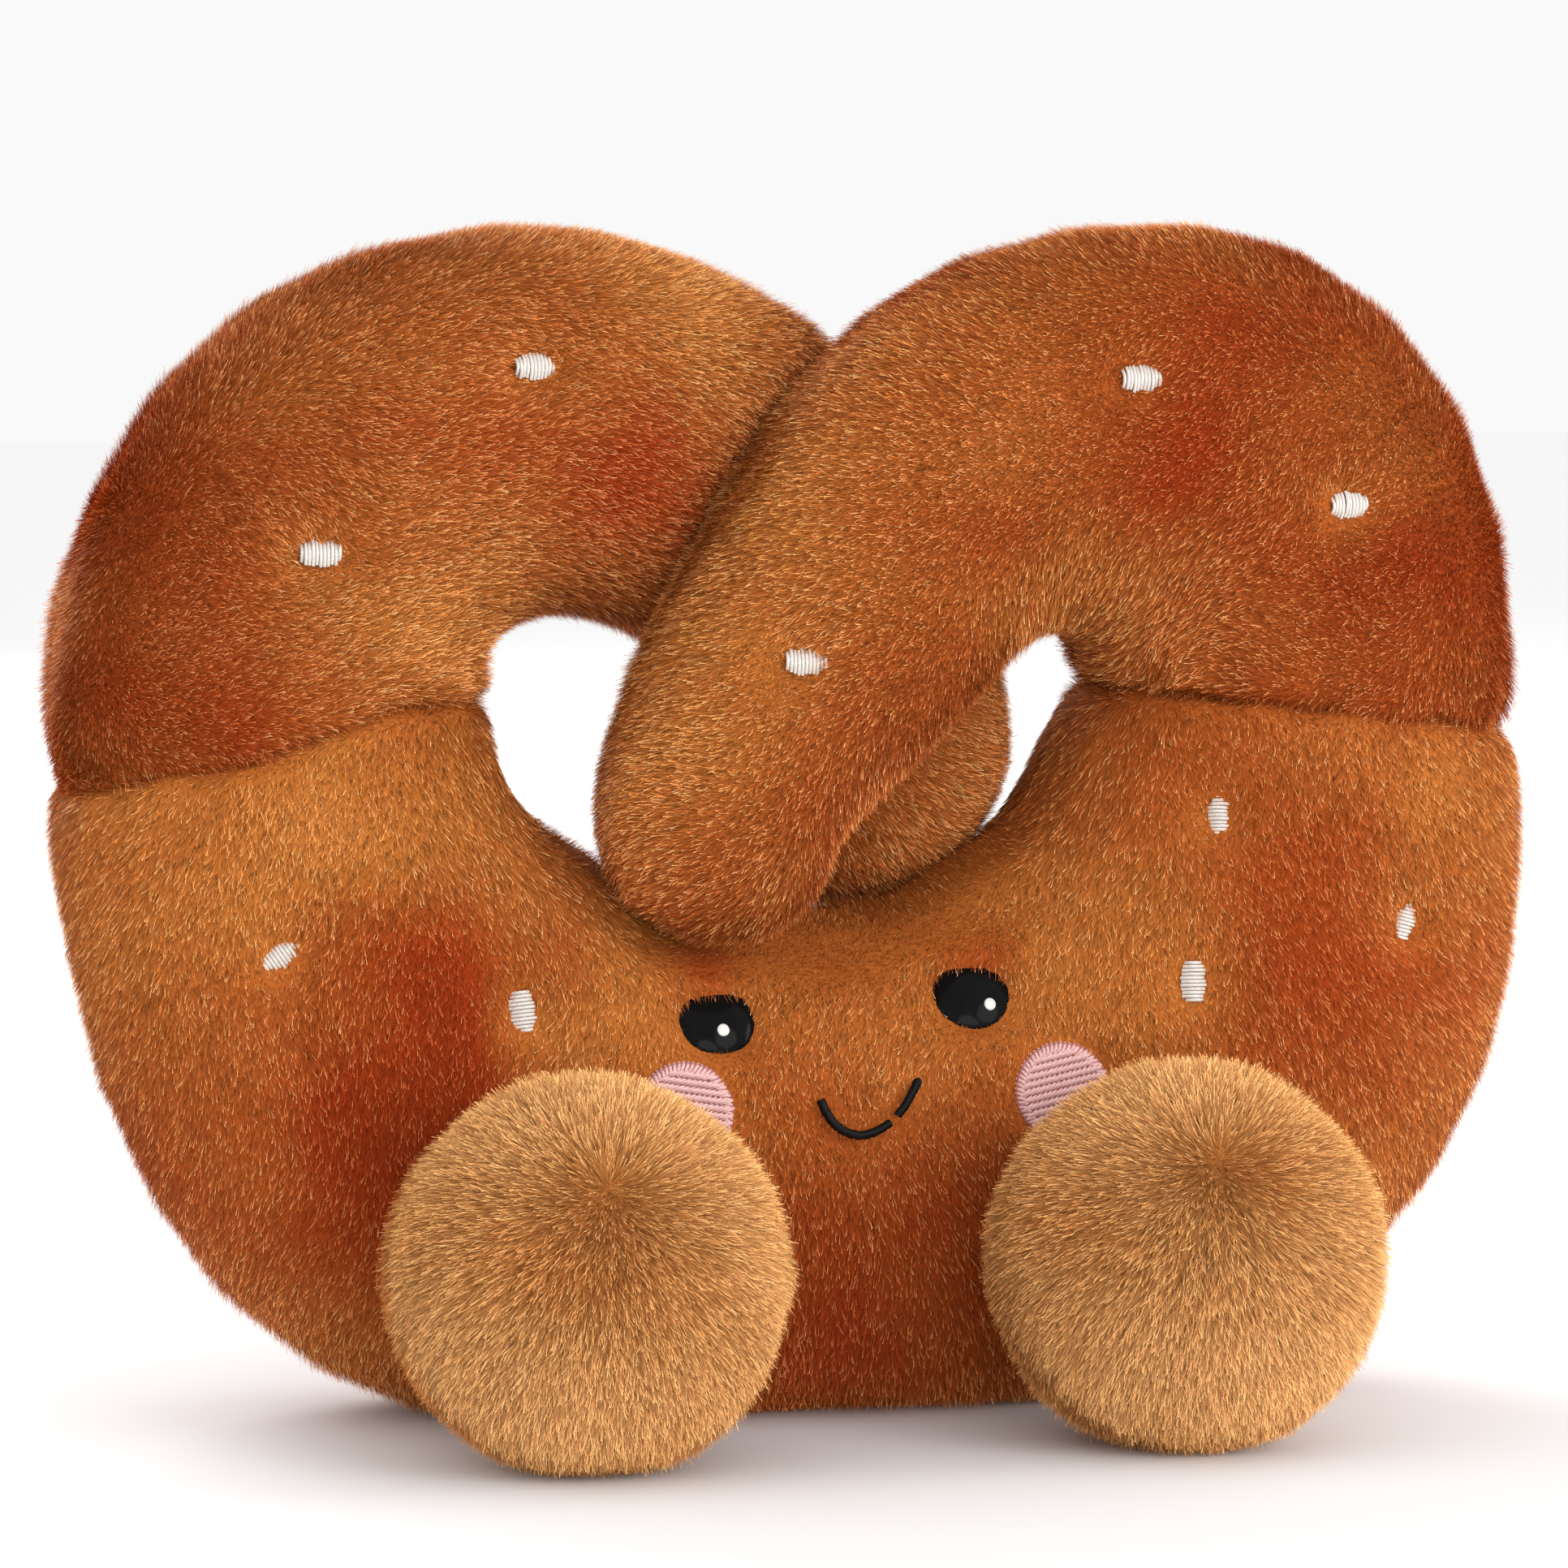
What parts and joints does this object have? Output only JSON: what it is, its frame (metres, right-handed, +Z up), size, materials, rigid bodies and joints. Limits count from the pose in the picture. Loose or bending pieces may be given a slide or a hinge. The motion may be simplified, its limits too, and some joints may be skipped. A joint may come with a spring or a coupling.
{
  "type": "plush pretzel toy",
  "caption": "Stuffed plush pretzel with crossed loops, a stitched smile, bead eyes, salt grains and round furry feet.",
  "frame": {"origin": "on the floor, under the middle of the lower body", "axes": "+Z up, +X to the right as seen from the front, the face looks along -Y"},
  "size_m": [0.1316, 0.0766, 0.1026],
  "materials": {
    "brown_plush": "short-pile plush, golden tan airbrushed with rust brown",
    "tan_plush": "longer-pile plush, golden tan",
    "fibre_filling": "white polyester fibre",
    "pellet_filling": "plastic pellets",
    "eye_plastic": "polished black plastic with a white dot",
    "washer_plastic": "natural plastic",
    "black_thread": "embroidery thread",
    "pink_thread": "glossy embroidery thread in satin and fill stitches",
    "white_thread": "glossy embroidery thread in satin stitches"
  },
  "bodies": {
    "root": {"body_front_panel": "brown_plush", "body_back_panel": "brown_plush", "body_stuffing": "fibre_filling", "body_pellet_bag": "pellet_filling", "left_loop_front_panel": "brown_plush", "left_loop_back_panel": "brown_plush", "left_loop_stuffing": "fibre_filling", "right_loop_front_panel": "brown_plush", "right_loop_back_panel": "brown_plush", "right_loop_stuffing": "fibre_filling", "left_foot_cover": "tan_plush", "left_foot_pellets": "pellet_filling", "right_foot_cover": "tan_plush", "right_foot_pellets": "pellet_filling", "left_eye": "eye_plastic", "right_eye": "eye_plastic", "left_eye_washer": "washer_plastic", "right_eye_washer": "washer_plastic", "smile_stitching": "black_thread", "left_cheek_stitching": "pink_thread", "right_cheek_stitching": "pink_thread", "left_loop_salt_1": "white_thread", "left_loop_salt_2": "white_thread", "right_loop_salt_1": "white_thread", "right_loop_salt_2": "white_thread", "right_loop_salt_3": "white_thread", "body_salt_1": "white_thread", "body_salt_2": "white_thread", "body_salt_3": "white_thread", "body_salt_4": "white_thread", "body_salt_5": "white_thread"}
  },
  "joints": []
}
